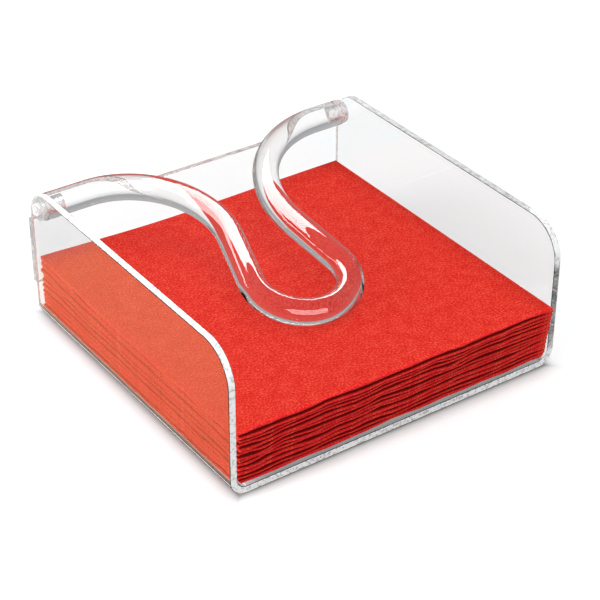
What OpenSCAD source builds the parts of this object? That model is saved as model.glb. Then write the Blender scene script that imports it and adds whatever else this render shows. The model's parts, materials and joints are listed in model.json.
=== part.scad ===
// Clear napkin holder: a bent sheet tray, a strip across its rear and a heavy bent rod that hinges on two
// pins and rests its loop on a stack of folded napkins. Millimetres.
// Origin: on the table, under the middle of the whole holder. +X is right when facing the open front,
// +Y is to the rear, +Z is up.

/* [Napkins] */
// Number of folded napkins in the stack
napkin_count = 13; // [4:1:13]
// Depth of a folded napkin, from its front fold to its rear edges
napkin_side = 165; // [140:1:180]
// How much wider than deep it is, because its first fold lies off the sheet's middle
fold_miss = 4; // [0:0.5:6]
// Thickness of a folded napkin
napkin_t = 2.2; // [1.5:0.1:2.2]
// How far single napkins wander from the stack's middle
stack_wander = 0.35; // [0:0.05:0.4]

/* [Tray] */
// Room between a folded napkin and each side wall
side_room = 1; // [0.8:0.1:10]
// Room between the stack and the tray's front edge
front_room = 0.9; // [0.5:0.1:10]
// Room between the stack and the rear strip
rear_room = 1.4; // [0.6:0.1:10]
// Height of the side walls above the table
wall_h = 72.5; // [68:0.5:90]
// Thickness of the bent sheet
sheet_t = 3.5; // [2.5:0.25:4.5]
// Inside radius of the two bottom bends
bend_r = 5; // [3:0.5:8]
// Radius of the front top corner of each side wall
front_corner_r = 18; // [6:0.5:28]
// Radius of the rear top corner of each side wall
rear_corner_r = 14; // [6:0.5:15]

/* [Rear strip] */
// Height of the strip
strip_h = 35; // [20:0.5:35.5]
// Air between the strip's top edge and the rod above it
strip_gap = 1.35; // [1:0.05:5]
// Thickness of the strip
strip_t = 3; // [2:0.25:5]
// Radius of the strip's four corners
strip_corner_r = 1; // [0.5:0.25:4]

/* [Weighted arm] */
// Diameter of the solid rod
rod_d = 12.7; // [9:0.1:12.8]
// Distance from the hinge axis to the middle of the rod at the loop's front
arm_reach = 118; // [105:1:125]
// Radius of the loop, to the middle of the rod
loop_r = 23; // [18:0.5:26]
// How far the loop sits left of the tray's middle
loop_offset = 5; // [0:0.5:8]
// Straight length from the rod's left end to its left bend
left_straight_l = 21.7; // [16:0.1:24]
// Angle of the left bend
left_bend_angle = 105.6; // [100:0.1:107]
// Straight length from the rod's right end to its right bend
right_straight_l = 15; // [12:0.1:20]
// Angle of the right bend
right_bend_angle = 96.6; // [94:0.1:100]

/* [Hinge] */
// Distance from the side wall's rear edge to the hinge axis
hinge_inset = 5; // [4.5:0.25:8]
// Distance from the side wall's top edge to the hinge axis
hinge_drop = 10.3; // [9:0.1:10.5]
// Diameter of each hinge pin
pin_d = 5; // [3:0.25:5.5]
// Length of pin glued into each end of the rod
pin_seat = 8; // [5:0.5:14]
// How far each pin stops short of the wall's outer face
pin_recess = 0.2; // [0:0.1:0.6]
// Thickness of the spacer washer between the rod and the wall
washer_t = 2; // [1:0.25:3]
// Diameter of the spacer washer
washer_d = 12; // [9:0.25:12.5]

/* [Hidden] */
// Radial clearance of a pin in a wall's bore and of a washer on its pin
running_gap = 0.05;
// Radial film of glue round a pin in the rod, and past its end
glue_gap = 0.05;
// Free space at each face of a spacer washer
side_play = 0.1;
// Air under the stack, round it, under its top napkin and under the resting arm
paper_gap = 0.3;
// How far a cut runs past the face that it opens
overrun = 1;
// Turn between one napkin's wander and the next one's
wander_step = 137;
// How much thinner in radius a bend of the rod is than its straights, and how far it laps into them
join_step = 0.05;
join_lap = 0.3;

$fn = 96;

rod_r = rod_d / 2;
napkin_w = napkin_side + fold_miss;
inner_half_w = napkin_w / 2 + side_room;
tray_w = 2 * (inner_half_w + sheet_t);
tray_d = napkin_side + 2 * stack_wander + front_room + rear_room;
front_y = -(tray_d + strip_t) / 2;
rear_y = front_y + tray_d;
outer_bend_r = bend_r + sheet_t;
hinge_y = rear_y - hinge_inset;
hinge_z = wall_h - hinge_drop;
strip_lift = hinge_z - rod_r - strip_gap - strip_h;
rod_half_l = inner_half_w - washer_t - 2 * side_play;
stack_base = sheet_t + paper_gap;
top_base = stack_base + (napkin_count - 1) * napkin_t + paper_gap;
stack_top = top_base + napkin_t;
stack_y = front_y + front_room + stack_wander + napkin_side / 2;
// Tilt at which the front of the loop rests on the stack
rest_tilt = asin((hinge_z - stack_top - paper_gap - rod_r) / arm_reach);

NAPKINS = [for (i = [1:napkin_count]) str("napkin_", i < 10 ? "0" : "", i)];

// A rectangle of the given size, its two lower corners rounded, standing on y = 0 about x = 0
module round_bottomed(w, h, r) {
    translate([-w / 2, r]) square([w, h - r]);
    translate([r - w / 2, 0]) square([w - 2 * r, r]);
    for (side = [-1, 1]) translate([side * (w / 2 - r), r]) circle(r);
}

// Outline of the bent sheet seen from the front
module tray_section() {
    difference() {
        round_bottomed(tray_w, wall_h, outer_bend_r);
        translate([0, sheet_t]) round_bottomed(2 * inner_half_w, wall_h, bend_r);
    }
}

// Outline of the tray seen from its right side, both top corners rounded
module tray_profile() {
    translate([front_y + front_corner_r, 0]) square([tray_d - front_corner_r - rear_corner_r, wall_h]);
    translate([front_y, 0]) square([front_corner_r, wall_h - front_corner_r]);
    translate([rear_y - rear_corner_r, 0]) square([rear_corner_r, wall_h - rear_corner_r]);
    translate([front_y + front_corner_r, wall_h - front_corner_r]) circle(front_corner_r);
    translate([rear_y - rear_corner_r, wall_h - rear_corner_r]) circle(rear_corner_r);
}

// Lays an outline drawn in Y and Z across the tray, w wide about x = 0
module across(w) {
    rotate([90, 0, 90]) translate([0, 0, -w / 2]) linear_extrude(w) children();
}

// Lays an outline drawn in X and Z along the tray, from y0 over the length d
module along(y0, d) {
    translate([0, y0 + d, 0]) rotate([90, 0, 0]) linear_extrude(d) children();
}

// Places children, drawn from the right end of the rod outwards along +Z, at one end of the hinge axis
module at_hinge_end(side) {
    translate([side * rod_half_l, hinge_y, hinge_z]) rotate([0, side * 90, 0]) children();
}

module tray() {
    color([0.86, 0.91, 0.93, 0.4])
    difference() {
        intersection() {
            along(front_y, tray_d) tray_section();
            across(tray_w + 2 * overrun) tray_profile();
        }
        translate([0, hinge_y, hinge_z]) rotate([0, 90, 0])
            cylinder(h = tray_w + 2 * overrun, d = pin_d + 2 * running_gap, center = true);
    }
}

module rear_strip() {
    color([0.82, 0.88, 0.91, 0.4])
    along(rear_y, strip_t) translate([0, strip_lift]) {
        translate([-tray_w / 2, strip_corner_r]) square([tray_w, strip_h - 2 * strip_corner_r]);
        translate([strip_corner_r - tray_w / 2, 0]) square([tray_w - 2 * strip_corner_r, strip_h]);
        for (side = [-1, 1], z = [strip_corner_r, strip_h - strip_corner_r])
            translate([side * (tray_w / 2 - strip_corner_r), z]) circle(strip_corner_r);
    }
}

// A length of rod along +Z from its own origin
module rod(length) {
    cylinder(h = length, d = rod_d);
}

// A bend of the rod in the XY plane about its own origin, from the angle start over the angle turn.
// It is a hair thinner than the straights and laps into them, so that they join as one solid.
module rod_bend(radius, start, turn) {
    lap = join_lap / radius * 180 / PI;
    rotate(start - lap) rotate_extrude(angle = turn + 2 * lap)
        translate([radius, 0]) circle(rod_r - join_step);
}

// Left side of the arm from the loop to the wall, flat in XY with the hinge axis along X at y = 0 and the
// loop towards -Y: the straight neck, the bend outwards and the straight end.
// The loop's arc, the neck and the bend touch each other, which fixes the bend's radius.
module arm_side(offset, straight_l, angle) {
    bend_x = straight_l - rod_half_l;
    bend_radius = (-bend_x - offset - arm_reach / tan(angle)) / tan(angle / 2) - loop_r;
    loop_end = [-offset - loop_r * sin(angle), loop_r * (1 - cos(angle)) - arm_reach];
    neck_l = (-bend_radius * (1 - cos(angle)) - loop_end.y) / sin(angle);
    translate([loop_end.x, loop_end.y, 0]) rotate([0, 90, 180 - angle]) rod(neck_l);
    translate([bend_x, -bend_radius, 0]) rod_bend(bend_radius, 90 - angle, angle);
    translate([-rod_half_l, 0, 0]) rotate([0, 90, 0]) rod(straight_l);
}

module weight_arm() {
    color([0.93, 0.95, 0.96, 0.6])
    difference() {
        translate([0, hinge_y, hinge_z]) rotate([rest_tilt, 0, 0]) {
            translate([-loop_offset, loop_r - arm_reach, 0])
                rod_bend(loop_r, -90 - left_bend_angle, left_bend_angle + right_bend_angle);
            arm_side(loop_offset, left_straight_l, left_bend_angle);
            mirror([1, 0, 0]) arm_side(-loop_offset, right_straight_l, right_bend_angle);
        }
        for (side = [-1, 1]) at_hinge_end(side) translate([0, 0, -pin_seat - glue_gap])
            cylinder(h = pin_seat + glue_gap + overrun, d = pin_d + 2 * glue_gap);
    }
}

module hinge_pin(side) {
    color([0.8, 0.85, 0.88, 0.7])
    at_hinge_end(side) translate([0, 0, -pin_seat])
        cylinder(h = pin_seat + 2 * side_play + washer_t + sheet_t - pin_recess, d = pin_d);
}

module spacer_washer(side) {
    color([0.9, 0.93, 0.94, 0.6])
    at_hinge_end(side) translate([0, 0, side_play]) difference() {
        cylinder(h = washer_t, d = washer_d);
        translate([0, 0, -overrun]) cylinder(h = washer_t + 2 * overrun, d = pin_d + 2 * running_gap);
    }
}

// A folded edge is round and an open edge is square: w wide, with the round end at -w / 2
module folded_section(w) {
    translate([napkin_t / 2 - w / 2, 0]) square([w - napkin_t / 2, napkin_t]);
    translate([napkin_t / 2 - w / 2, napkin_t / 2]) circle(d = napkin_t);
}

// Number i from the bottom: folds at its front and left, open edges at its rear and right.
// The lowest ones give way to the tray's bends.
module napkin(i) {
    is_top = i == napkin_count;
    base = is_top ? top_base : stack_base + (i - 1) * napkin_t;
    shift = stack_wander * [sin(i * wander_step), cos(i * wander_step)];
    color([0.86, 0.12, 0.1])
    intersection() {
        translate([shift.x, stack_y + shift.y, base]) across(napkin_w) folded_section(napkin_side);
        translate([shift.x, 0, base]) along(stack_y - napkin_side, 2 * napkin_side) folded_section(napkin_w);
        along(front_y - tray_d, 3 * tray_d) translate([0, sheet_t + paper_gap])
            round_bottomed(2 * (inner_half_w - paper_gap), wall_h, bend_r - paper_gap);
    }
}

tray();
rear_strip();
weight_arm();
hinge_pin(-1);  // hinge_pin_left
hinge_pin(1);  // hinge_pin_right
spacer_washer(-1);  // spacer_washer_left
spacer_washer(1);  // spacer_washer_right
for (i = [1:napkin_count])
    napkin(i);
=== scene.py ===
"""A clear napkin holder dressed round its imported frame: a bent acrylic sheet, a glued rear strip, a heavy
bent rod on two pins and thirteen folded tissue napkins. Shapes are worked out in millimetres, and become
metres when their mesh is made. The studio round them is in metres."""

import json

import bpy
import numpy as np
from mathutils import Matrix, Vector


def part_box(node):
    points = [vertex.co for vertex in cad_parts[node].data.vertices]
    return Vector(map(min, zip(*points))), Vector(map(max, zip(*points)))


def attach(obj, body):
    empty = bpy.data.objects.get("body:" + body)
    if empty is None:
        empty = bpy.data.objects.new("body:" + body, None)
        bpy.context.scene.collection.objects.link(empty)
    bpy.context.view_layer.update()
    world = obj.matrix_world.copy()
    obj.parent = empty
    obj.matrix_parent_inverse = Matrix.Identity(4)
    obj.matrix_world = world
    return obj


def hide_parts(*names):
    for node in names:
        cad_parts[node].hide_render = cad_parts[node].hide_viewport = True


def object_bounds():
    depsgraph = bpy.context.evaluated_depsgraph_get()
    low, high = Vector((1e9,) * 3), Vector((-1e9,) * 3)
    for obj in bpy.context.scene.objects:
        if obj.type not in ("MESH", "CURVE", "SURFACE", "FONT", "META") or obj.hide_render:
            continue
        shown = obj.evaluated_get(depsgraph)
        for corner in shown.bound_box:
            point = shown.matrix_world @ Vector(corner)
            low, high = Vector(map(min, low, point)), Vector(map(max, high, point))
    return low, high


MM = 0.001

# Tray, strip and pins
SHEET_T = 3.5
BEND_R = 5.0
BEND_MIDDLE_R = BEND_R + SHEET_T / 2
FRONT_CORNER_R = 18.0
REAR_CORNER_R = 14.0
STRIP_CORNER_R = 1.0
BORE_R = 2.55
POLISH_R = 0.35
PIN_EASE = 0.35
WASHER_BORE_EASE = 0.2
WASHER_EASE = 0.3
GLUE_LAP = 0.02

# Grid of a cut plate: rows round a corner, the block of cells that gives way to the rings round a bore, and
# how far a rim's normal may turn from the rim, as a squared sine, before its frost ends
CORNER_ROWS = 25
CLOSEST_ROWS = 0.02
BLOCK_REACH = 3.5
BLOCK_CELLS = 12
BLOCK_FROM_REAR = (9.4, 0.55)
BLOCK_GAP = 2.0
WIDE_CELLS = 18
RING_LINES = 5
RIM_DEPTH = 3.0
RIM_TURN = 0.08
WALL_ROWS_FROM = 22.0
STRIP_ROWS = (4.0, 84.0)

# Painted highlight lines, frosted and glowing, along the outside of the tray's bends, in degrees from
# the wall: where they run, half their width, and the rows of points that hold their edges
PAINTED_LINE_ANGLES = (12.0, 27.0)
PAINTED_LINE_HALF = 1.0
PAINTED_LINE_ROWS = (-1.7, -0.8, 0.8, 1.7)

# Frost of the rims, from 0 to 1. The tray's is cleared by a share: a little everywhere, more along the right
# wall, and most on its front rim, where the clearing grows between two heights. There the rims lose white
# frost and painted glow, which makes them darker than the left wall's: painted shade on that side
STRIP_FROST = 0.35
ROD_END_FROST = 0.3
PIN_FROST = 0.30
WASHER_FROST = 0.25
CLEARED = 0.08
RIGHT_CLEARED = 0.40
FRONT_CLEARED_MORE = 0.62
FRONT_CLEARED_FROM = 7.0
FRONT_CLEARED_OVER = 4.0

# Weighted arm, as it is bent from one rod
ROD_R = 6.35
ARM_REACH = 118.0
LOOP_R = 23.0
LOOP_OFFSET = 5.0
LEFT_STRAIGHT = 21.7
LEFT_ANGLE = 105.6
RIGHT_STRAIGHT = 15.0
RIGHT_ANGLE = 96.6
REST_TILT = 11.17
PIN_SEAT = 8.05
ROD_END_EASES = (0.3, 0.3, 0.6)
ROD_END_DEPTH = 2.0
ROD_SHAFT_DEPTH = 10.0
ARC_STEP = 2.5
ROD_SEGMENTS = 72
TURNED_SEGMENTS = 64

# Napkins: a square sheet folded in four, and how its folds lie in the stack
NAPKIN_SHEET = 330.0
TISSUE_T = 0.46
FOLD_SLACK = 0.1
NEAR_FOLD = 0.09
NAPKIN_GAP = 0.02
BAY_GAP = 0.2
NARROWED_OVER = 40.0
RIGHT_EASE = 20.0
RIGHT_END_REACH = 5.0
WAVE_REACH = 9.0
FRONT_WAVE = 0.14
LEFT_WAVE = 0.08
LEAN_PIVOT = 0.7
FORWARD_LEFT = 1.9
FORWARD_RIGHT_MORE = 1.6
BLUNT_RIGHT = 0.15
BLUNT_MORE = 0.6
FRONT_PINCH_REACH = 5.0
LEFT_PINCH = 0.16
LEFT_PINCH_REACH = 4.0
# How far the painted groove shade reaches from the front and left folds, and its strength at the left fold
PAINTED_SHADE_REACH = 3.0
LEFT_PAINTED_SHADE = 0.28
NAPKIN_WAVES = 6
WAVE_LENGTHS = (12.0, 50.0)
FRONT_PINCHES = (0.22, 0.38)
LEANS = (-0.30, 0.30)

# Studio: how far the edge of the table's painted contact shadow lies inside the walls' outer faces, how
# fast the table's colour and own white come up from it, half the table's width and its drop below the foot
PAINTED_SHADOW_INSET = 4.4
PAINTED_SHADOW_FADE = 2.6
TABLE_HALF = 0.46
TABLE_DROP = 0.05

# Camera, solved from the straight edges of the tray
CAMERA_TARGET = (4.6, -1.9, 20.6)
CAMERA_AZIMUTH = -34.95
CAMERA_ELEVATION = 33.03
CAMERA_ROLL = 0.2
CAMERA_DISTANCE = 892.8
CAMERA_LENS = 114.46

# Points closer than the weld, in metres, are one. The phase keeps round numbers off the cells' borders
WELD = 1e-7
WELD_PHASE = 0.37
SEED = 7

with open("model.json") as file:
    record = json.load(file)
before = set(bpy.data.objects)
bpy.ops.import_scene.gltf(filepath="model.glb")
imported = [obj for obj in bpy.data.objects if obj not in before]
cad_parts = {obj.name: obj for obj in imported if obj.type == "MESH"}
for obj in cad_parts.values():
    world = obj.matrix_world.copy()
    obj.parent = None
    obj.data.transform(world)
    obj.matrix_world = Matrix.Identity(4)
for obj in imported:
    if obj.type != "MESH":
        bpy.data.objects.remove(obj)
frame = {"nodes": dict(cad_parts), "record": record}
cad_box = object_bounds()


def node_box(node):
    """Lowest and highest corner of a CAD node in millimetres."""
    low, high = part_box(node)
    return np.array(low) / MM, np.array(high) / MM


# Shader expressions

class Field:
    """A socket of a node tree that adds, subtracts, multiplies and compares as a number does."""

    def __init__(self, finish, socket):
        self.finish = finish
        self.socket = socket

    def _math(self, operation, *values):
        return self.finish.node("ShaderNodeMath", {"operation": operation}, dict(enumerate(values)))

    def __add__(self, other):
        return self._math("ADD", self, other)

    def __sub__(self, other):
        return self._math("SUBTRACT", self, other)

    def __rsub__(self, other):
        return self._math("SUBTRACT", other, self)

    def __mul__(self, other):
        return self._math("MULTIPLY", self, other)

    def __gt__(self, other):
        return self._math("GREATER_THAN", self, other)

    __radd__ = __add__
    __rmul__ = __mul__

    def at_least(self, other):
        """The larger of the value and another."""
        return self._math("MAXIMUM", self, other)

    def clipped(self):
        """The value held between 0 and 1."""
        return self._math("MINIMUM", self, 1.0).at_least(0.0)

    def unsigned(self):
        """The value without its sign."""
        return self._math("ABSOLUTE", self)

    def exponential(self):
        """The number e to the power of the value."""
        return self._math("EXPONENT", self)


class Finish:
    """The node tree of one material or of the world."""

    def __init__(self, owner):
        owner.use_nodes = True
        self.owner = owner
        self.tree = owner.node_tree
        self.tree.nodes.clear()

    def node(self, kind, settings=None, values=None, out=0):
        """Adds a node, sets it, feeds its sockets with values or fields and returns one output as a field."""
        made = self.tree.nodes.new(kind)
        for key, value in (settings or {}).items():
            if key == "stops":
                self._set_stops(made.color_ramp, value)
            else:
                setattr(made, key, value)
        for key, value in (values or {}).items():
            self._feed(made.inputs[key], value)
        return Field(self, made.outputs[out])

    def _feed(self, socket, value):
        if isinstance(value, Field):
            self.tree.links.new(value.socket, socket)
        else:
            socket.default_value = value

    @staticmethod
    def _set_stops(ramp, stops):
        while len(ramp.elements) < len(stops):
            ramp.elements.new(1.0)
        for element, (place, colour) in zip(ramp.elements, stops):
            element.position = place
            element.color = colour

    def mixed(self, factor, a, b):
        """Colour a where the factor is 0 and colour b where it is 1."""
        return self.node("ShaderNodeMix", {"data_type": "RGBA"}, {0: factor, 6: a, 7: b}, out=2)

    def shaded(self, factor, a, b):
        """Shader a where the factor is 0 and shader b where it is 1."""
        return self.node("ShaderNodeMixShader", None, {0: factor, 1: a, 2: b})

    def ramp(self, factor, stops):
        """A factor turned into greys or colours by the stops."""
        return self.node("ShaderNodeValToRGB", {"stops": stops}, {"Fac": factor})

    def noise(self, place, scale, detail):
        """Soft noise, with about scale blots to the metre."""
        return self.node("ShaderNodeTexNoise", None, {"Vector": place, "Scale": scale, "Detail": detail})

    def attribute(self, name):
        """The number that the mesh carries at its points under a name."""
        return self.node("ShaderNodeAttribute", {"attribute_name": name}, out="Fac")

    def object_place(self):
        """The place on the piece, in metres."""
        return self.node("ShaderNodeTexCoord", out="Object")

    def part(self, vector, axis):
        """One part of a vector: X, Y or Z."""
        return self.node("ShaderNodeSeparateXYZ", None, {0: vector}, out=axis)

    def raised(self, height, strength, distance):
        """The normal of a surface that stands up by height."""
        return self.node("ShaderNodeBump", None, {
            "Height": height, "Strength": strength, "Distance": distance})

    def light_path(self, name):
        """One output of the Light Path node, such as Is Shadow Ray."""
        return self.node("ShaderNodeLightPath", out=name)

    def surface(self, shader):
        """Sends a shader to the output."""
        of_world = isinstance(self.owner, bpy.types.World)
        output = self.tree.nodes.new("ShaderNodeOutputWorld" if of_world else "ShaderNodeOutputMaterial")
        self.tree.links.new(shader.socket, output.inputs["Surface"])


def grey(value):
    """An opaque grey."""
    return (value, value, value, 1.0)


# Finishes

def clear_acrylic(name, tint, roughness, shade):
    """Polished acrylic of one tint and roughness, with a slow waviness. Its sawn rims are frosted as far as
    the piece's attribute rim says: frost is rim times a little over one, less at its specks and clouds, and
    uneven where rim is between 0 and 1. The frost has a painted glow, least at its blots and most on the
    painted highlight lines, where rim is 1. Lamps and soft light pass straight through the piece,
    dimmed at each face by shade."""
    made = Finish(bpy.data.materials.new(name))
    place = made.object_place()
    rim = made.attribute("rim")
    specks = made.noise(place, 750.0, 2.0)
    cloudy = made.noise(place, 240.0, 3.0)
    waves = made.noise(place, 28.0, 1.0)
    # Half specks, where the fine noise is high, and half clouds
    marks = (specks > 0.54) * 0.5 + cloudy * 0.5
    normal = made.raised(waves * 0.6 + rim * cloudy * 0.25, 0.25, 0.4 * MM)
    glass = made.node("ShaderNodeBsdfPrincipled", None, {
        "Base Color": tint, "Roughness": rim * marks * 0.2 + roughness, "Normal": normal, "IOR": 1.49,
        "Transmission Weight": 1.0, "Specular IOR Level": 0.5})
    # Blots grow with the marks and dim the painted glow, and only a rim of nearly 1 counts as a painted
    # highlight line
    blots = ((marks - 0.20) * 2.4).clipped()
    on_painted_lines = ((rim - 0.93) * 15.0).clipped()
    painted_glow = made.mixed(on_painted_lines, made.mixed(blots, grey(0.33), grey(0.0)), grey(0.75))
    # Whitish frost, as sawn acrylic has, whose emission is a painted glow: it is no lamp
    frost_and_painted_glow = made.node("ShaderNodeBsdfPrincipled", None, {
        "Base Color": (0.95, 0.965, 0.97, 1.0), "Roughness": 0.40, "Normal": normal,
        "Specular IOR Level": 0.5, "Emission Color": painted_glow, "Emission Strength": 0.8})
    uneven = (cloudy - 0.5) * rim * (1 - rim) * 3.0
    frosted = (rim * (1.15 - marks * 0.35) + uneven).clipped()
    clear = made.node("ShaderNodeBsdfTransparent", None, {"Color": grey(shade)})
    soft = (made.light_path("Is Shadow Ray") + made.light_path("Is Diffuse Ray")).clipped()
    made.surface(made.shaded(frosted, made.shaded(soft, glass, clear), frost_and_painted_glow))
    return made.owner


def red_tissue():
    """Soft red two-ply tissue, patterned on the flat sheet: a fine grid of embossed dots, and a tone summed
    from the noise of fibres, mottle and clouds. The front fold's crest has a painted highlight, and an
    attribute paints shade into the grooves between the napkins."""
    made = Finish(bpy.data.materials.new("red_tissue"))
    sheet = made.node("ShaderNodeUVMap", {"uv_map": "sheet"})
    metres = made.node(
        "ShaderNodeVectorMath", {"operation": "SCALE"}, {0: sheet, "Scale": NAPKIN_SHEET * MM})
    fibres = made.noise(metres, 2600.0, 2.0)
    mottle = made.noise(metres, 1100.0, 3.0)
    clouds = made.noise(metres, 160.0, 2.0)
    dots = made.node("ShaderNodeTexVoronoi", {"feature": "SMOOTH_F1"}, {
        "Vector": metres, "Scale": 950.0, "Smoothness": 0.35, "Randomness": 0.45}, out="Distance")
    tone = (mottle * 0.6 + fibres * 0.25 + clouds * 0.15).clipped()
    flat_red = made.ramp(tone, [
        (0.34, (0.62, 0.006, 0.005, 1)), (0.50, (0.78, 0.034, 0.022, 1)), (0.66, (0.92, 0.120, 0.072, 1))])
    # Painted highlight: the front fold's crest is a brighter red
    painted_highlight_red = made.ramp(tone, [
        (0.36, (0.80, 0.012, 0.016, 1)), (0.50, (0.94, 0.024, 0.026, 1)), (0.62, (1.0, 0.110, 0.060, 1))])
    # Painted shade for the grooves between the napkins
    painted_shade_red = (0.15, 0.001, 0.002, 1)
    from_fold = (made.part(sheet, "Y") - 0.5).unsigned()
    at_painted_highlight = (1.0 - from_fold * 90.0).clipped()
    colour = made.mixed(made.attribute("crease"), made.mixed(at_painted_highlight, flat_red, painted_highlight_red), painted_shade_red)
    normal = made.raised(dots + mottle * 0.6 + fibres * 0.2, 0.7, 0.2 * MM)
    made.surface(made.node("ShaderNodeBsdfPrincipled", None, {
        "Base Color": colour, "Roughness": 1.0, "Normal": normal, "Specular IOR Level": 0.05}))
    return made.owner


# Meshes

def grid_cells(index):
    """The four corners of each cell of a grid of point numbers."""
    return np.stack([index[:-1, :-1], index[1:, :-1], index[1:, 1:], index[:-1, 1:]], axis=-1)


def quad_normals(points, quads):
    """A normal for each quad, as the cross product of its diagonals."""
    return np.cross(points[quads[:, 2]] - points[quads[:, 0]], points[quads[:, 3]] - points[quads[:, 1]])


def carry(mesh, name, values):
    """Writes one number for each point into the mesh, under a name."""
    mesh.attributes.new(name, "FLOAT", "POINT").data.foreach_set("value", values.astype(np.float32))


def circle(segments):
    """Angles of equal segments once round."""
    return np.linspace(0.0, 2 * np.pi, segments + 1)[:-1]


class Patches:
    """Gathers grids of points with their outward normals, and welds them into one closed mesh."""

    def __init__(self):
        self.points, self.normals, self.rims, self.quads = [], [], [], []
        self.count = 0

    def add(self, points, normals, rim=0.0, keep=None, closed=False):
        """Adds a grid of rows by columns. keep leaves cells out, closed joins the last row to the first."""
        rows, columns = points.shape[:2]
        index = np.arange(rows * columns).reshape(rows, columns) + self.count
        if closed:
            index = np.vstack([index, index[:1]])
        cells = grid_cells(index)
        if keep is not None:
            cells = cells[keep]
        self.quads.append(cells.reshape(-1, 4))
        self.points.append(points.reshape(-1, 3))
        self.normals.append(normals.reshape(-1, 3))
        self.rims.append(np.broadcast_to(rim, (rows, columns)).reshape(-1))
        self.count += rows * columns

    def mapped(self, place):
        """The same patches with place(points, normals) applied to all of them."""
        made = Patches()
        points, normals = place(np.concatenate(self.points), np.concatenate(self.normals))
        made.points, made.normals = [points], [normals]
        made.rims, made.quads, made.count = list(self.rims), list(self.quads), self.count
        return made

    def piece(self, name, body, slot, material, replaces):
        """Makes the mesh: equal points are joined, each face is turned to agree with its normals, and a face
        with two equal corners becomes a triangle."""
        points = np.concatenate(self.points) * MM
        normals = np.concatenate(self.normals)
        quads = np.concatenate(self.quads)
        keys = np.round(points / WELD + WELD_PHASE).astype(np.int64)
        _, first, back = np.unique(keys, axis=0, return_index=True, return_inverse=True)
        quads = back.reshape(-1)[quads]
        points, normals, rims = points[first], normals[first], np.concatenate(self.rims)[first]
        inward = np.einsum("ij,ij->i", quad_normals(points, quads), normals[quads].sum(axis=1)) < 0
        quads[inward] = quads[inward][:, ::-1]
        repeated = quads == np.roll(quads, -1, axis=1)
        whole = quads[~repeated.any(axis=1)]
        pinched = repeated.sum(axis=1) == 1
        spare = repeated[pinched].argmax(axis=1)
        others = (spare[:, None] + np.arange(1, 4)) % 4
        triangles = np.take_along_axis(quads[pinched], others, axis=1)
        mesh = bpy.data.meshes.new(name)
        mesh.from_pydata(points.tolist(), [], whole.tolist() + triangles.tolist())
        carry(mesh, "rim", rims)
        lengths = np.linalg.norm(normals, axis=1, keepdims=True)
        mesh.shade_smooth()
        mesh.normals_split_custom_set_from_vertices((normals / np.maximum(lengths, 1e-9)).tolist())
        return dressed(name, mesh, body, material, replaces)


def dressed(name, mesh, body, material, replaces):
    """An object for a mesh, on its body, in place of its CAD node."""
    made = bpy.data.objects.new(name, mesh)
    bpy.context.scene.collection.objects.link(made)
    mesh.materials.append(material)
    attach(made, body)
    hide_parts(replaces)
    return made


def eased(corners, radii, steps=5):
    """A polyline with each inner corner rounded by an arc of its radius, as points and left-hand normals.
    The arc touches both sides, at the radius times the tangent of half the turn from the corner."""
    corners = np.asarray(corners, float)
    ways = np.diff(corners, axis=0)
    ways /= np.linalg.norm(ways, axis=1, keepdims=True)
    lefts = np.stack([-ways[:, 1], ways[:, 0]], axis=1)
    points, normals = [corners[:1]], [lefts[:1]]
    for k in range(1, len(corners) - 1):
        before, after, radius = ways[k - 1], ways[k], radii[k - 1]
        turn = np.arctan2(before[0] * after[1] - before[1] * after[0], before @ after)
        side = np.sign(turn)
        start = corners[k] - before * radius * np.tan(abs(turn) / 2)
        centre = start + lefts[k - 1] * side * radius
        angles = np.linspace(0.0, turn, steps)
        spin = np.stack([np.cos(angles), -np.sin(angles), np.sin(angles), np.cos(angles)], axis=1)
        facing = spin.reshape(-1, 2, 2) @ lefts[k - 1]
        points.append(centre - facing * side * radius)
        normals.append(facing)
    points.append(corners[-1:])
    normals.append(lefts[-1:])
    return np.concatenate(points), np.concatenate(normals)


# Tray and strip, as plates cut flat and bent up

def cut_outline(length, front, rear, front_r, rear_r, s):
    """Front and rear ends of the rows at s of a plate with rounded corners, inset by the polished edge, and
    the outward normals there. A corner's normal turns from the row's own side to the plate's front or
    rear."""
    from_end = np.minimum(s, length - s)
    way = np.where(s < length / 2, -1.0, 1.0)
    ends = []
    for edge, radius, sign in ((front, front_r, -1.0), (rear, rear_r, 1.0)):
        cosine = np.clip((radius - from_end) / (radius - POLISH_R), 0.0, 1.0)
        sine = np.sqrt(1.0 - cosine ** 2)
        y = edge - sign * (radius - (radius - POLISH_R) * sine)
        ends.append((y, np.stack([way * cosine, sign * sine], axis=1)))
    return ends


def row_places(length, front_r, rear_r, extra):
    """Where a plate's rows lie: close along its corners, at the extra places, and mirrored."""
    angles = np.radians(np.linspace(0.0, 90.0, CORNER_ROWS))
    at_front = front_r - (front_r - POLISH_R) * np.cos(angles)
    at_rear = rear_r - (rear_r - POLISH_R) * np.cos(angles)
    half = np.concatenate([at_front, at_rear[::3], extra])
    half = half[half < length / 2]
    places = np.sort(np.concatenate([half, length - half]))
    apart = np.concatenate([[True], np.diff(places) > CLOSEST_ROWS])
    return places[apart]


def plate_face(flat, n):
    """A face of a plate at n, from its points in s and y, and its normals, which point away from n = 0."""
    level = np.full(flat.shape[:2] + (1,), n)
    facing = np.zeros(flat.shape[:2] + (3,))
    facing[..., 2] = np.sign(n)
    return np.concatenate([flat, level], axis=-1), facing


def rim_profile(at, inner, half):
    """A rim's cross-section between two faces, with polished edges: distances and n, and its normals."""
    path, side = eased([(inner, half), (at, half), (at, -half), (inner, -half)], [POLISH_R, POLISH_R])
    return path[1:-1], side[1:-1]


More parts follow.
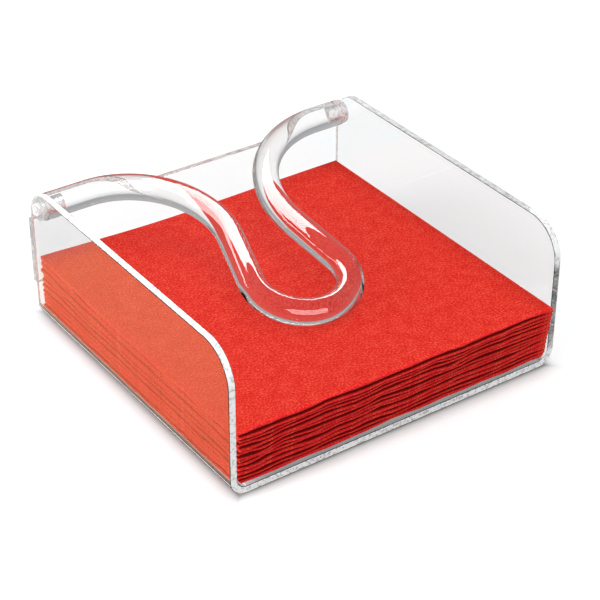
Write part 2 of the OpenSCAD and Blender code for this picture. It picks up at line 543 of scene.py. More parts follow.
def rim_carried(line, outward, path, side):
    """A rim's cross-section carried along a line: its distances are laid off from the line along outward."""
    shape = (len(outward), len(path), 1)
    points = np.concatenate([
        line + outward[:, None] * path[None, :, :1], np.broadcast_to(path[None, :, 1:], shape)], axis=-1)
    facing = np.concatenate([
        outward[:, None] * side[None, :, :1], np.broadcast_to(side[None, :, 1:], shape)], axis=-1)
    return points, facing


def cut_plate(length, front, rear, front_r, rear_r, thickness, extra_rows=(), bores=()):
    """A flat plate in s, y and n, n across its thickness: two faces with round bores, and a polished rim.
    Each bore is (from the end, y, radius), and its cells give way to rings between a block and the bore."""
    block = np.linspace(-BLOCK_REACH, BLOCK_REACH, BLOCK_CELLS + 1)
    extra = np.concatenate([np.asarray(extra_rows, float)] + [from_end + block for from_end, _, _ in bores])
    s = row_places(length, front_r, rear_r, extra)
    (y_front, front_normals), (y_rear, rear_normals) = cut_outline(length, front, rear, front_r, rear_r, s)
    near_rear = np.concatenate([np.linspace(*BLOCK_FROM_REAR, BLOCK_CELLS + 1), [0.0]])
    share = np.linspace(0.0, 1.0, WIDE_CELLS + 1)[:-1]
    wide = y_front[:, None] + share * (y_rear - near_rear[0] - BLOCK_GAP - y_front)[:, None]
    y = np.concatenate([wide, y_rear[:, None] - near_rear], axis=1)
    columns = y.shape[1]
    flat = np.stack([np.repeat(s[:, None], columns, axis=1), y], axis=-1)

    keep = np.ones((len(s) - 1, columns - 1), bool)
    first, last = len(share), len(share) + BLOCK_CELLS
    holes = []
    for from_end, bore_y, radius in bores:
        for along in (from_end, length - from_end):
            low = int(np.abs(s - (along + block[0])).argmin())
            high = int(np.abs(s - (along + block[-1])).argmin())
            keep[low:high, first:last] = False
            around = np.concatenate([
                flat[low:high, first], flat[high, first:last],
                flat[low + 1:high + 1, last][::-1], flat[low, first + 1:last + 1][::-1]])
            centre = np.array([along, bore_y])
            away = around - centre
            away /= np.linalg.norm(away, axis=1, keepdims=True)
            holes.append((centre, radius, around, away))

    made = Patches()
    half = thickness / 2
    share_in = np.linspace(0.0, 1.0, RING_LINES)[None, :, None]
    for n in (half, -half):
        made.add(*plate_face(flat, n), keep=keep)
        for centre, radius, around, away in holes:
            mouth = centre + away * (radius + POLISH_R)
            rings = around[:, None] * (1 - share_in) + mouth[:, None] * share_in
            made.add(*plate_face(rings, n), closed=True)
    for centre, radius, _, away in holes:
        points, facing = rim_carried(centre, away, *rim_profile(radius, radius + RIM_DEPTH, half))
        made.add(points, -facing, rim=1.0, closed=True)
    loop = np.concatenate([flat[:, 0], flat[-1, 1:], flat[::-1, -1][1:], flat[0, ::-1][1:-1]])
    side = np.tile([[1.0, 0.0]], (columns, 1))
    outward = np.concatenate([front_normals, side[1:], rear_normals[::-1][1:], -side[1:-1]])
    points, facing = rim_carried(loop[:, None], outward, *rim_profile(POLISH_R, POLISH_R - RIM_DEPTH, half))
    made.add(points, facing, rim=(facing[..., 2] ** 2 < RIM_TURN).astype(float), closed=True)
    return made


def bent_up(low, high):
    """The fold of the tray: down the left wall, round a bend, across the floor and up the right wall. s runs
    along the middle of the sheet and n is its distance outwards."""
    outer_r = BEND_R + SHEET_T
    wall = high[2] - outer_r
    floor = high[0] - low[0] - 2 * outer_r
    quarter = BEND_MIDDLE_R * np.pi / 2
    stations = np.cumsum([0.0, wall, quarter, floor, quarter, wall])

    def place(points, normals):
        """The flat sheet's points and normals on the bent one."""
        s, y, n = points.T
        left = np.clip((s - stations[1]) / BEND_MIDDLE_R, 0.0, np.pi / 2)
        right = np.clip((s - stations[3]) / BEND_MIDDLE_R, 0.0, np.pi / 2)
        angle = left + right
        down = np.clip(s, 0.0, stations[1])
        along = np.clip(s - stations[2], 0.0, floor)
        up = np.clip(s - stations[4], 0.0, wall)
        x = low[0] + outer_r + along - BEND_MIDDLE_R * np.cos(left) + BEND_MIDDLE_R * np.sin(right)
        z = high[2] - down + up - BEND_MIDDLE_R * np.sin(left) + BEND_MIDDLE_R * (1 - np.cos(right))
        along_x, along_z = np.sin(angle), -np.cos(angle)
        out_x, out_z = -np.cos(angle), -np.sin(angle)
        bent_points = np.stack([x + n * out_x, y, z + n * out_z], axis=1)
        bent_normals = np.stack([
            normals[:, 0] * along_x + normals[:, 2] * out_x, normals[:, 1],
            normals[:, 0] * along_z + normals[:, 2] * out_z], axis=1)
        return bent_points, bent_normals

    return stations, place


def painted_highlight_lines(flat, stations):
    """1 on the painted highlight lines along the outside of the bends, by the angle from the wall, and 0
    elsewhere.
    """
    s, _, n = flat.T
    turn = np.degrees((np.minimum(s, stations[-1] - s) - stations[1]) / BEND_MIDDLE_R)
    outside = n > SHEET_T / 2 - 0.01
    return sum(np.abs(turn - angle) < PAINTED_LINE_HALF for angle in PAINTED_LINE_ANGLES) * outside


def tray_cleared(points, low, high):
    """The share of frost that is off the tray's rims: a little everywhere, more along the right wall behind
    its rounded corner, and on its straight front rim a share that grows with height. The right wall's
    clearing is painted shade: its rims are darker for less frost and painted glow."""
    x, y, z = points.T
    right = x > high[0] - SHEET_T - BEND_R
    made = np.where(right & (y > low[1] + FRONT_CORNER_R), RIGHT_CLEARED, CLEARED)
    on_front = right & (y < low[1] + 1.0) & (z < high[2] - FRONT_CORNER_R)
    rising = np.clip((z - FRONT_CLEARED_FROM) / FRONT_CLEARED_OVER, 0.0, 1.0)
    return np.where(on_front, CLEARED + FRONT_CLEARED_MORE * rising, made)


def tray(material, hinge):
    """The bent sheet with its two pin bores. It is cut flat, with close rows where it will bend, and its rims
    have the frost that isn't cleared, or the painted highlight lines where these are more."""
    low, high = node_box("tray")
    stations, place = bent_up(low, high)
    walls = np.linspace(WALL_ROWS_FROM, stations[1], 8)
    bends = np.linspace(stations[1], stations[2], 19)
    painted_line_turns = np.radians([angle + off for angle in PAINTED_LINE_ANGLES for off in PAINTED_LINE_ROWS])
    floor = np.linspace(stations[2], (stations[2] + stations[3]) / 2, 7)
    plate = cut_plate(
        stations[-1], low[1], high[1], FRONT_CORNER_R, REAR_CORNER_R, SHEET_T,
        extra_rows=np.concatenate([walls, bends, stations[1] + painted_line_turns * BEND_MIDDLE_R, floor]),
        bores=[(high[2] - hinge[2], hinge[1], BORE_R)])
    bent = plate.mapped(place)
    frost_and_painted_glow = np.concatenate(plate.rims) * (1.0 - tray_cleared(bent.points[0], low, high))
    # The painted highlight lines on the bends' outside take the place of frost where they are more
    bent.rims = [np.maximum(frost_and_painted_glow, painted_highlight_lines(np.concatenate(plate.points), stations))]
    return bent.piece("tray_sheet", "holder", "clear_sheet", material, "tray")


def rear_strip(material):
    """The strip across the rear, set a hair into the walls' rear edges as its glue sets it."""
    low, high = node_box("rear_strip")
    thickness = high[1] - low[1] + GLUE_LAP

    def place(points, normals):
        """The flat strip's points and normals with the strip stood on its long edge."""
        along, up, n = points.T
        return np.stack([low[0] + along, high[1] - thickness / 2 + n, up], axis=1), normals[:, [0, 2, 1]]

    plate = cut_plate(high[0] - low[0], low[2], high[2], STRIP_CORNER_R, STRIP_CORNER_R, thickness,
                      extra_rows=np.linspace(*STRIP_ROWS, 12))
    strip = plate.mapped(place)
    strip.rims = [np.concatenate(strip.rims) * STRIP_FROST]
    return strip.piece("rear_strip_sheet", "holder", "clear_strip", material, "rear_strip")


# Weighted arm, with its pins and washers

def arc(centre, radius, start, stop):
    """Points and ways of a flat arc from one angle to the other, in degrees, ends included."""
    angles = np.radians(np.linspace(start, stop, max(2, int(abs(stop - start) / ARC_STEP))))
    sense = np.sign(stop - start)
    points = np.asarray(centre) + radius * np.stack([np.cos(angles), np.sin(angles)], axis=1)
    ways = sense * np.stack([-np.sin(angles), np.cos(angles)], axis=1)
    return points, ways


def arm_path(half_length):
    """The rod's middle line, flat in x and w: straight, bend, neck, loop, neck, bend, straight. The loop's
    arc, the neck and the bend touch each other, which fixes the bend's radius."""
    def bend(straight, offset, angle):
        """Where the straight ends, and the radius of the bend after it."""
        turn = np.radians(angle)
        bend_x = half_length - straight
        radius = (bend_x - offset - ARM_REACH / np.tan(turn)) / np.tan(turn / 2) - LOOP_R
        return bend_x, radius

    left_x, left_r = bend(LEFT_STRAIGHT, LOOP_OFFSET, LEFT_ANGLE)
    right_x, right_r = bend(RIGHT_STRAIGHT, -LOOP_OFFSET, RIGHT_ANGLE)
    arcs = [
        arc((-left_x, -left_r), left_r, 90.0, 90.0 - LEFT_ANGLE),
        arc((-LOOP_OFFSET, LOOP_R - ARM_REACH), LOOP_R, 270.0 - LEFT_ANGLE, 270.0 + RIGHT_ANGLE),
        arc((right_x, -right_r), right_r, 90.0 + RIGHT_ANGLE, 90.0),
    ]
    neck = np.linspace(0.0, 1.0, 10)[1:-1, None]
    points, ways = [arcs[0][0]], [arcs[0][1]]
    for arc_points, arc_ways in arcs[1:]:
        last_point, last_way = points[-1][-1], ways[-1][-1]
        points += [last_point + neck * (arc_points[0] - last_point), arc_points]
        ways += [np.repeat(last_way[None], len(neck), axis=0), arc_ways]
    return np.concatenate(points), np.concatenate(ways)


def weight_arm(material, hinge):
    """One solid rod: rings of its radius carried along its path, which is tilted about the hinge, with faced
    and drilled ends, given as (distance beyond the end, radius)."""
    half_length = node_box("weight_arm")[1][0]
    flat_points, flat_ways = arm_path(half_length)
    tilt = np.radians(REST_TILT)

    def lifted(flat):
        """From x and w to the arm's plane, which is tilted about x."""
        return np.stack([flat[:, 0], flat[:, 1] * np.cos(tilt), flat[:, 1] * np.sin(tilt)], axis=1)

    middle, ways = lifted(flat_points) + hinge, lifted(flat_ways)
    above = np.array([0.0, -np.sin(tilt), np.cos(tilt)])
    end, end_side = eased([
        (-PIN_SEAT, 0.0), (-PIN_SEAT, BORE_R), (0.0, BORE_R), (0.0, ROD_R), (-ROD_END_DEPTH, ROD_R)],
        ROD_END_EASES)
    shaft = np.linspace(-ROD_END_DEPTH, -ROD_SHAFT_DEPTH, 4)[1:]
    beyond = np.concatenate([end[:, 0], shaft])
    end_radii = np.concatenate([end[:, 1], np.full(len(shaft), ROD_R)])
    end_along = np.concatenate([-end_side[:, 0], np.zeros(len(shaft))])
    end_out = np.concatenate([-end_side[:, 1], np.ones(len(shaft))])
    x_way = np.array([1.0, 0.0, 0.0])
    centres = np.concatenate([
        hinge - half_length * x_way - np.outer(beyond, x_way), middle,
        hinge + half_length * x_way + np.outer(beyond[::-1], x_way)])
    end_ways = np.tile(x_way, (len(beyond), 1))
    axis = np.concatenate([end_ways, ways, end_ways])
    radii = np.concatenate([end_radii, np.full(len(middle), ROD_R), end_radii[::-1]])
    out_along = np.concatenate([-end_along, np.zeros(len(middle)), end_along[::-1]])
    out_radial = np.concatenate([end_out, np.ones(len(middle)), end_out[::-1]])
    angles = circle(ROD_SEGMENTS)
    radial = np.cos(angles)[:, None, None] * np.cross(axis, above) + np.sin(angles)[:, None, None] * above
    points = centres + radii[:, None] * radial
    facing = out_along[:, None] * axis + out_radial[:, None] * radial
    made = Patches()
    made.add(points, facing, rim=ROD_END_FROST * (radii < ROD_R - 0.05), closed=True)
    return made.piece("bent_rod", "arm", "clear_rod", material, "weight_arm")


def turned_piece(name, node, slot, material, hinge, corners, radii, frost_and_painted_glow):
    """A profile of (x, radius) with eased corners, spun round the hinge's axis."""
    profile, normals = eased(corners, radii)
    way, up = np.array([1.0, 0.0, 0.0]), np.array([0.0, 0.0, 1.0])
    angles = circle(TURNED_SEGMENTS)
    radial = np.cos(angles)[:, None] * np.cross(way, up) + np.sin(angles)[:, None] * up
    points = hinge + profile[None, :, :1] * way + profile[None, :, 1:] * radial[:, None, :]
    facing = normals[None, :, :1] * way + normals[None, :, 1:] * radial[:, None, :]
    made = Patches()
    made.add(points, facing, rim=frost_and_painted_glow, closed=True)
    return made.piece(name, "arm", slot, material, node)


def hinge_pin(side, material, hinge):
    """A round pin with eased ends, from its seat in the rod to just inside the wall's outer face."""
    node = "hinge_pin_" + side
    low, high = node_box(node)
    radius = (high[2] - low[2]) / 2
    corners = [(low[0], 0.0), (low[0], radius), (high[0], radius), (high[0], 0.0)]
    return turned_piece("turned_pin_" + side, node, "clear_pin", material, hinge, corners,
                        [PIN_EASE, PIN_EASE], PIN_FROST)


def spacer_washer(side, material, hinge):
    """A flat ring with eased edges round the pin."""
    node = "spacer_washer_" + side
    low, high = node_box(node)
    radius = (high[2] - low[2]) / 2
    middle = (low[0] + high[0]) / 2
    corners = [(middle, BORE_R), (low[0], BORE_R), (low[0], radius),
               (high[0], radius), (high[0], BORE_R), (middle, BORE_R)]
    return turned_piece("ring_washer_" + side, node, "clear_washer", material, hinge, corners,
                        [WASHER_BORE_EASE, WASHER_EASE, WASHER_EASE, WASHER_BORE_EASE], WASHER_FROST)


# Napkins

def sheet_lines(radius, miss, dense, coarse):
    """Places along a sheet of tissue folded miss past its middle: close at its ends and at the fold."""
    end = TISSUE_T / 2 * (1 - np.cos(np.radians([0.0, 30.0, 60.0, 90.0])))
    shares = np.concatenate([
        np.linspace(1.0, NEAR_FOLD, coarse)[1:], np.linspace(NEAR_FOLD, 0.0, dense)[1:]])
    flap = (NAPKIN_SHEET - np.pi * radius) / 2 + np.array([miss, -miss])
    lower, upper = [np.concatenate([end, length * (1 - shares)]) for length in flap]
    bend = np.linspace(flap[0], flap[0] + np.pi * radius, 9)[1:-1]
    return np.concatenate([lower, bend, NAPKIN_SHEET - upper[::-1]])


def fold(u, radius, miss, offset):
    """Distance from the folded edge and height of a sheet folded miss past its middle, offset inwards."""
    flap = (NAPKIN_SHEET - np.pi * radius) / 2 + miss
    angle = np.clip((u - flap) / radius, 0.0, np.pi)
    straight = np.maximum(flap - u, 0.0) + np.maximum(u - flap - np.pi * radius, 0.0)
    reach = radius - offset
    return radius + straight - reach * np.sin(angle), radius - reach * np.cos(angle)


def thinned(u):
    """A sheet's thickness at u as a share of its full one: a quarter circle down to nothing at its ends."""
    depth = np.clip(np.minimum(u, NAPKIN_SHEET - u) / (TISSUE_T / 2), 0.0, 1.0)
    return np.sqrt(np.maximum(1 - (1 - depth) ** 2, 0.0))


def wave(place, lengths, phases, heights):
    """A sum of slow sines along a place."""
    return sum(height * np.sin(2 * np.pi * place / length + phase)
               for length, phase, height in zip(lengths, phases, heights))


class Stack:
    """How the napkins share the stack's height. Its levels are wavy at the folds and calm inside, and rise
    towards the rear end of the left folds, where most paper lies. From each level to the next the waves'
    phases drift by a fixed step, so that neighbours are alike."""

    SHARES = (2.5, 1.6, 3.0, 2.7, 1.9, 1.7, 1.8, 2.3, 2.5, 1.9, 1.8, 2.2, 2.2)
    WAVES = 5
    LENGTHS = (14.0, 62.0)
    HEIGHTS = (0.10, 0.26)
    DRIFTS = (-1.1, 1.1)
    EDGE_REACH = 14.0
    SIDE_SHARE = 0.6
    LIFT, LIFT_LENGTH, LIFT_PLACE = 0.30, 95.0, 20.0
    REAR_LEFT_RISE = 2.4
    ARM_DIP, ARM_PLACE, ARM_WIDTH = 0.8, 15.0, 45.0

    def __init__(self, bottom, top, low, high):
        rng = np.random.default_rng(SEED)
        self.low, self.high = low, high
        self.bottom = bottom
        shares = np.concatenate([[0.0], np.cumsum(self.SHARES)]) / sum(self.SHARES)
        self.levels = bottom + (top - bottom) * shares
        count = len(self.levels)
        drift = np.arange(count)[:, None]
        waves = self.WAVES
        self.lengths = rng.uniform(*self.LENGTHS, waves) * np.ones((count, 1))
        self.phases = rng.uniform(0.0, 2 * np.pi, waves) + drift * rng.uniform(*self.DRIFTS, waves)
        self.side_phases = rng.uniform(0.0, 2 * np.pi, waves) + drift * rng.uniform(*self.DRIFTS, waves)
        self.heights = rng.uniform(*self.HEIGHTS, (count, waves))

    def level(self, k, x, y):
        """Height of the gap above napkin k, k = 0 for the floor: its own level, plus waves that fade from the
        front and the sides, a lift of the lowest at the front, and the swell at the rear, which grows with
        the level."""
        calm = 0.0 if k in (0, len(self.levels) - 1) else 1.0
        lift = 0.0
        if k == 0:
            lift = self.LIFT * (1 + np.sin(2 * np.pi * (x + self.LIFT_PLACE) / self.LIFT_LENGTH))
        front = np.exp(-(y - self.low[1]) / self.EDGE_REACH)
        left = np.exp(-(x - self.low[0]) / self.EDGE_REACH)
        right = np.exp(-(self.high[0] - x) / self.EDGE_REACH)
        front_waves = front * wave(x, self.lengths[k], self.phases[k], self.heights[k])
        side_waves = wave(y, self.lengths[k], self.side_phases[k], self.heights[k])
        waves = front_waves + (left + right) * self.SIDE_SHARE * side_waves
        height = self.levels[k] + front * lift + calm * waves
        depth, width = self.high[1] - self.low[1], self.high[0] - self.low[0]
        rear = np.clip((y - self.low[1]) / depth * 2 - 1, 0.0, 1.0) ** 2
        folded = np.clip((self.high[0] - x) / width * 2 - 1, 0.0, 1.0) ** 2
        dip = self.ARM_DIP * np.exp(-((x + self.ARM_PLACE) / self.ARM_WIDTH) ** 2)
        swell = rear * (self.REAR_LEFT_RISE * folded - dip)
        return height + swell * (self.levels[k] - self.bottom) / (self.levels[-1] - self.bottom)

    @staticmethod
    def narrowed(x, z, edge, bay):
        """x drawn in where the tray's bends leave less room, by the room at each height."""
        below = np.clip(SHEET_T + BEND_R - z, 0.0, BEND_R)
        room = bay - BEND_R + np.sqrt(BEND_R ** 2 - below ** 2) - BAY_GAP
        start = edge - NARROWED_OVER
        share = np.minimum((room - start) / (edge - start), 1.0)
        beyond = np.maximum(np.abs(x) - start, 0.0)
        return np.sign(x) * (np.abs(x) - beyond * (1 - share))


def closed_sheet(name, faces, uv, painted_groove_shades):
    """One closed mesh from the two faces of a sheet, grids of points that share their border. It carries the
    place on the flat sheet as its UV map, and the painted shade of the grooves."""
    rows, columns = uv.shape[:2]
    count = rows * columns
    index = np.arange(count).reshape(rows, columns)
    cells = grid_cells(index).reshape(-1, 4)
    quads = np.concatenate([cells, (cells + count)[:, ::-1]])
    border = np.concatenate([index[0], index[-1], index[1:-1, 0], index[1:-1, -1]])
    join = np.arange(2 * count)
    join[border + count] = border
    used, quads = np.unique(join[quads], return_inverse=True)
    quads = quads.reshape(-1, 4)
    points = np.concatenate([face.reshape(-1, 3) for face in faces])[used] * MM
    outward = np.einsum("ij,ij->", points[quads].mean(axis=1), quad_normals(points, quads))
    if outward < 0:
        quads = quads[:, ::-1]
    mesh = bpy.data.meshes.new(name)
    mesh.from_pydata(points.tolist(), [], quads.tolist())
    mesh.shade_smooth()
    corners = np.zeros(len(mesh.loops), np.int32)
    mesh.loops.foreach_get("vertex_index", corners)
    flat = np.tile(uv.reshape(-1, 2), (2, 1))[used]
    mesh.uv_layers.new(name="sheet").data.foreach_set("uv", flat[corners].astype(np.float32).ravel())
    carry(mesh, "crease", np.concatenate([crease.reshape(-1) for crease in painted_groove_shades])[used])
    return mesh


def napkin(number, stack, material, body):
    """One sheet of tissue folded in four: first at its left edge, then at its front edge over both layers.
    Its two faces are offset by half the tissue's thickness, which narrows to nothing at the sheet's ends.
    At its folds it is pinched towards its own middle and leans, so that grooves part it from the others."""
    node = f"napkin_{number:02d}"
    low, high = node_box(node)
    bay = node_box("tray")[1][0] - SHEET_T
    count = len(Stack.SHARES)
    top = number == count
    width, depth = high[0] - low[0], high[1] - low[1]
    pitch = (high[2] - low[2] - TISSUE_T - FOLD_SLACK) / 3
    miss = width - TISSUE_T - pitch / 2 - (NAPKIN_SHEET - np.pi * pitch / 2) / 2
    across, along = sheet_lines(pitch / 2, miss, 12, 22), sheet_lines(pitch * 1.5, 0.0, 14, 18)
    a, b = np.meshgrid(across, along, indexing="ij")
    half = TISSUE_T / 2 * thinned(a) * thinned(b)
    rng = np.random.default_rng(SEED + number)
    lengths = rng.uniform(*WAVE_LENGTHS, NAPKIN_WAVES)
    phases = rng.uniform(0.0, 2 * np.pi, NAPKIN_WAVES)
    front_pinch = rng.uniform(*FRONT_PINCHES)
    lean = 1.0 if top else rng.uniform(*LEANS)

    def face(side):
        """Points and painted groove shade of one face. off is the height between the napkin's middle, 0, and
        its faces, 1 and -1, and beside is 0 at the open right end of the folds and 1 away from it."""
        from_left, height = fold(a, pitch / 2, miss, side * half)
        from_front, rise = fold(b, pitch * 1.5, 0.0, height)
        at_front, at_left = np.exp(-from_front / WAVE_REACH), np.exp(-from_left / WAVE_REACH)
        share = (rise + TISSUE_T / 2) / (3 * pitch + TISSUE_T)
        off = 2 * share - 1

        x = low[0] + TISSUE_T / 2 + from_left
        x = x + (stack.high[0] - high[0]) * np.exp(-(high[0] - x) / RIGHT_EASE)
        beside = 1 - np.exp(-np.maximum(high[0] - x, 0.0) / RIGHT_END_REACH)
        leaning = wave(x, lengths, phases, [FRONT_WAVE] * NAPKIN_WAVES) + lean * (LEAN_PIVOT - share)
        y = low[1] + TISSUE_T / 2 + from_front + at_front * beside * leaning
        x = x + at_left * wave(y, lengths, phases[::-1], [LEFT_WAVE] * NAPKIN_WAVES)
        y = y + (stack.low[1] - low[1]) * at_front * (1 - beside)
        forward = (FORWARD_LEFT + FORWARD_RIGHT_MORE * (x - low[0]) / width) * (number - 1) / (count - 1)
        y = y - forward * np.maximum(1 - from_front / depth, 0.0)

        base, roof = stack.level(number - 1, x, y) + NAPKIN_GAP, stack.level(number, x, y) - NAPKIN_GAP
        near = np.exp(-from_front / FRONT_PINCH_REACH)
        blunt = np.sign(off) * np.abs(off) ** (BLUNT_RIGHT + BLUNT_MORE * beside)
        left_pinch = LEFT_PINCH * np.exp(-from_left / LEFT_PINCH_REACH)
        pinch = 1 - np.maximum(front_pinch * near * beside, left_pinch)
        height = base + (roof - base) * (0.5 + (off + (blunt - off) * near) * 0.5 * pinch)
        x = stack.narrowed(x, height, stack.high[0], bay)

        # Painted shade for the grooves between the napkins, strongest at the front fold and weaker at the
        # left fold. outer is 1 at the napkin's faces and 0 from a little over half way to its middle
        outer = np.clip(np.abs(off) * 2.2 - 1.2, 0.0, 1.0)
        front_painted_shade = np.exp(-(from_front / PAINTED_SHADE_REACH) ** 2) * outer
        left_painted_shade = LEFT_PAINTED_SHADE * np.exp(-(from_left / PAINTED_SHADE_REACH) ** 2) * outer
        crease = np.maximum(front_painted_shade, left_painted_shade)
        # The top napkin's upper face has no painted groove shade
        if top:
            crease = np.where(off > 0, 0.0, crease)
        return np.stack([x, y, height], axis=-1), crease

    faces, painted_groove_shades = zip(face(1.0), face(-1.0))
    mesh = closed_sheet("folded_" + node, faces, np.stack([a, b], axis=-1) / NAPKIN_SHEET, painted_groove_shades)
    made = dressed("folded_" + node, mesh, body, material, node)
    made.visible_glossy = False
    return made


def napkins(material):
    """The whole stack, each napkin on the body that holds its node."""
    bodies = frame["record"]["behaviour"]["bodies"]
    names = sorted(node for node in frame["nodes"] if node.startswith("napkin_"))
    lows, highs = zip(*[node_box(name) for name in names])
    stack = Stack(lows[0][2], highs[-1][2], np.min(lows, axis=0), np.max(highs, axis=0))
    for number, name in enumerate(names, 1):
        body = next(body for body, members in bodies.items() if name in members)
        napkin(number, stack, material, body)


# Studio

def seen_directly(finish):
    """1 for what the camera sees, also straight through clear pieces, and 0 after a mirror or soft bounce."""
    straight = (finish.light_path("Is Camera Ray") + finish.light_path("Is Transmission Ray")).clipped()
    return (straight - finish.light_path("Glossy Depth")).clipped()


def studio_floor():
    """A white table that keeps the holder's shadow and stays white to the camera and through the clear
    pieces. In gloss and as a source of soft light it is greyer, as a table in a dim room is, and in gloss
    it has a painted orange reflection beside the left wall, which gives the paper behind that wall its
    orange. Near the holder's foot its colour darkens and its own white fades, by e to the power of minus
    the distance over a few millimetres, so that the cast contact shadow isn't washed out; the darker
    colour there is painted shadow."""
    made = Finish(bpy.data.materials.new("white_table"))
    place = made.object_place()
    x, y = made.part(place, "X"), made.part(place, "Y")
    beyond_side = x.unsigned() - float(cad_box[1][0] - PAINTED_SHADOW_INSET * MM)
    beyond_end = y.unsigned() - float(cad_box[1][1])
    distance = beyond_side.at_least(beyond_end)
    # near is 1 at the holder's foot and falls away from it: the mask of the painted contact shadow
    near = (distance.unsigned() * (-1.0 / (PAINTED_SHADOW_FADE * MM))).exponential()
    # Through the clear pieces the white is dimmed by this share, more from a hand's width out
    far = 0.13 + ((distance - 0.10) * 6.0).clipped() * 0.45
    straight = seen_directly(made) * (1.0 - far * made.light_path("Is Transmission Ray"))
    gloss = made.light_path("Glossy Depth").clipped()
    # Painted orange reflection, seen in gloss only: from the left wall's foot outwards, as far back as the
    # rear corner's reflection reaches
    painted_reflection_patch = ((x * -1.0 - 0.087) * 150.0).clipped() * ((0.137 - y) * 55.0).clipped()
    gloss_with_painted_reflection = made.mixed(painted_reflection_patch, (0.31, 0.30, 0.285, 1), (0.66, 0.40, 0.20, 1))
    dim = made.mixed(gloss, grey(0.50), gloss_with_painted_reflection)
    # Painted contact shadow: the table's colour darkens near the foot, and its own white fades there
    white = made.mixed(near, grey(0.80), grey(0.32))
    matt = made.node("ShaderNodeBsdfDiffuse", None, {"Color": made.mixed(straight, dim, white)})
    glow = made.node("ShaderNodeEmission", None, {
        "Color": (0.94, 1.0, 1.0, 1), "Strength": straight * (1.0 - near) * 0.40})
    made.surface(made.node("ShaderNodeAddShader", None, {0: matt, 1: glow}))
    corners = [(-TABLE_HALF, -TABLE_HALF), (TABLE_HALF, -TABLE_HALF),
               (TABLE_HALF, TABLE_HALF), (-TABLE_HALF, TABLE_HALF)]
    mesh = bpy.data.meshes.new("table")
    mesh.from_pydata([corner + (-TABLE_DROP * MM,) for corner in corners], [], [(0, 1, 2, 3)])
    mesh.materials.append(made.owner)
    table = bpy.data.objects.new("table", mesh)
    bpy.context.scene.collection.objects.link(table)


def studio_world():
    """White to the camera, and soft light that is stronger from above. In gloss and through the clear pieces
    it is a dimmer room, darkest near the horizon, which draws the outlines of the rod and the rims."""
    world = bpy.data.worlds.new("studio")
    bpy.context.scene.world = world
    made = Finish(world)
    way = made.node("ShaderNodeTexCoord", out="Generated")
    height = made.part(way, "Z") * 0.5 + 0.5
    room = made.ramp(height, [
        (0.0, grey(0.55)), (0.34, (0.42, 0.45, 0.48, 1)), (0.50, (0.40, 0.43, 0.46, 1)), (0.64, grey(0.52)),
        (0.80, grey(0.62)), (1.0, grey(0.75))])
    open_light = made.ramp(height, [(0.48, grey(0.62)), (0.75, grey(0.50)), (1.0, grey(0.45))])
    gloss = made.light_path("Glossy Depth").clipped()
    dim = made.node("ShaderNodeBackground", None, {"Color": room, "Strength": 0.95 - gloss * 0.40})
    soft = made.node("ShaderNodeBackground", None, {"Color": open_light, "Strength": 0.80})
    white = made.node("ShaderNodeBackground", None, {"Color": grey(1.0), "Strength": 1.0})
    through = (gloss + made.light_path("Is Transmission Ray")).clipped()
    made.surface(made.shaded(made.light_path("Is Camera Ray"), made.shaded(through, soft, dim), white))


def level_axes(back):
    """Right and up of something that looks along minus back and is held level."""
    right = np.cross([0.0, 0.0, 1.0], back)
    right /= np.linalg.norm(right)
    return right, np.cross(back, right)


def set_up(name, data, right, up, back, place):
    """An object turned to three axes, at a place in metres."""
    made = bpy.data.objects.new(name, data)
    bpy.context.scene.collection.objects.link(made)
    turn = Matrix(np.stack([right, up, back], axis=1).tolist()).to_4x4()
    turn.translation = [float(value) for value in place]
    made.matrix_world = turn
    return made


def softbox(name, place, aim, size, power, card=False):
    """A flat lamp that faces its aim and isn't seen in gloss, or a reflector card that is seen in gloss
    alone. Places and sizes are in metres, the power in watts."""
    lamp = bpy.data.lights.new(name, "AREA")
    lamp.shape = "RECTANGLE"
    lamp.size, lamp.size_y = size
    lamp.energy = power
    back = np.asarray(place, float) - aim
    back /= np.linalg.norm(back)
    made = set_up(name, lamp, *level_axes(back), back, place)
    made.visible_camera = False
    made.visible_glossy = card
    made.visible_diffuse = not card
    made.visible_transmission = False


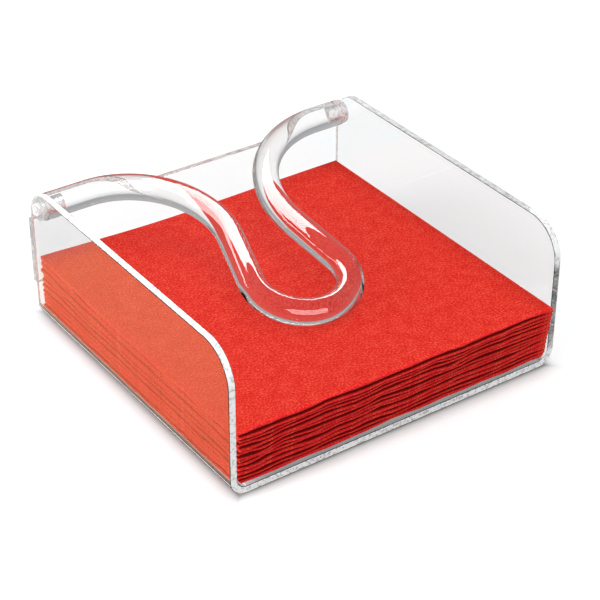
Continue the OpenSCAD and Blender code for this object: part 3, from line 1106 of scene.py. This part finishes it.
def camera():
    """The photograph's camera, by its azimuth, elevation, roll and distance from the target."""
    azimuth, elevation, roll = np.radians([CAMERA_AZIMUTH, CAMERA_ELEVATION, CAMERA_ROLL])
    back = np.array([
        np.sin(azimuth) * np.cos(elevation), -np.cos(azimuth) * np.cos(elevation), np.sin(elevation)])
    right, up = level_axes(back)
    rolled = right * np.cos(roll) + up * np.sin(roll)
    data = bpy.data.cameras.new("camera")
    data.sensor_width = 36.0
    data.lens = CAMERA_LENS
    data.clip_start = 0.01
    place = (np.array(CAMERA_TARGET) + back * CAMERA_DISTANCE) * MM
    bpy.context.scene.camera = set_up("camera", data, rolled, np.cross(back, rolled), back, place)


def main():
    """The camera, the studio and the holder's pieces on their bodies."""
    scene = bpy.context.scene
    scene.view_settings.view_transform = "Standard"
    scene.cycles.max_bounces = 32
    scene.cycles.transmission_bounces = 32
    scene.cycles.glossy_bounces = 12
    scene.cycles.transparent_max_bounces = 32
    scene.cycles.caustics_refractive = False
    scene.cycles.caustics_reflective = False

    camera()
    studio_world()
    studio_floor()
    softbox("high_softbox", (0.22, -0.02, 1.1), (0.0, 0.0, 0.0), (0.36, 0.36), 4.3)
    softbox("left_softbox", (-0.80, 0.15, 0.30), (0.0, 0.0, 0.03), (0.6, 0.4), 6.6)
    softbox("front_softbox", (-0.32, -1.20, 0.64), (0.0, 0.0, 0.05), (1.3, 0.6), 3.6)
    softbox("front_card", (-0.30, -1.19, 0.64), (0.0, 0.0, 0.05), (1.5, 0.85), 27.0, card=True)
    softbox("middle_card", (0.0075, 0.0465, 0.088), (0.0075, 0.0464, 0.0), (0.075, 0.057), 0.235, card=True)
    softbox("left_card", (-0.115, 0.0565, 0.088), (-0.115, 0.0564, 0.0), (0.17, 0.021), 0.12, card=True)

    pin_low, pin_high = node_box("hinge_pin_left")
    hinge = (pin_low + pin_high) / 2
    hinge[0] = 0.0
    sheet = clear_acrylic("polished_sheet", (0.98, 0.985, 0.99, 1), 0.0, 0.92)
    rod = clear_acrylic("polished_rod", (0.975, 0.965, 0.958, 1), 0.0, 0.88)
    turned_clear = clear_acrylic("turned_acrylic", (0.95, 0.96, 0.965, 1), 0.08, 0.80)
    tray(sheet, hinge)
    rear_strip(sheet)
    weight_arm(rod, hinge)
    for side in ("left", "right"):
        hinge_pin(side, turned_clear, hinge)
        spacer_washer(side, turned_clear, hinge)
    napkins(red_tissue())


main()
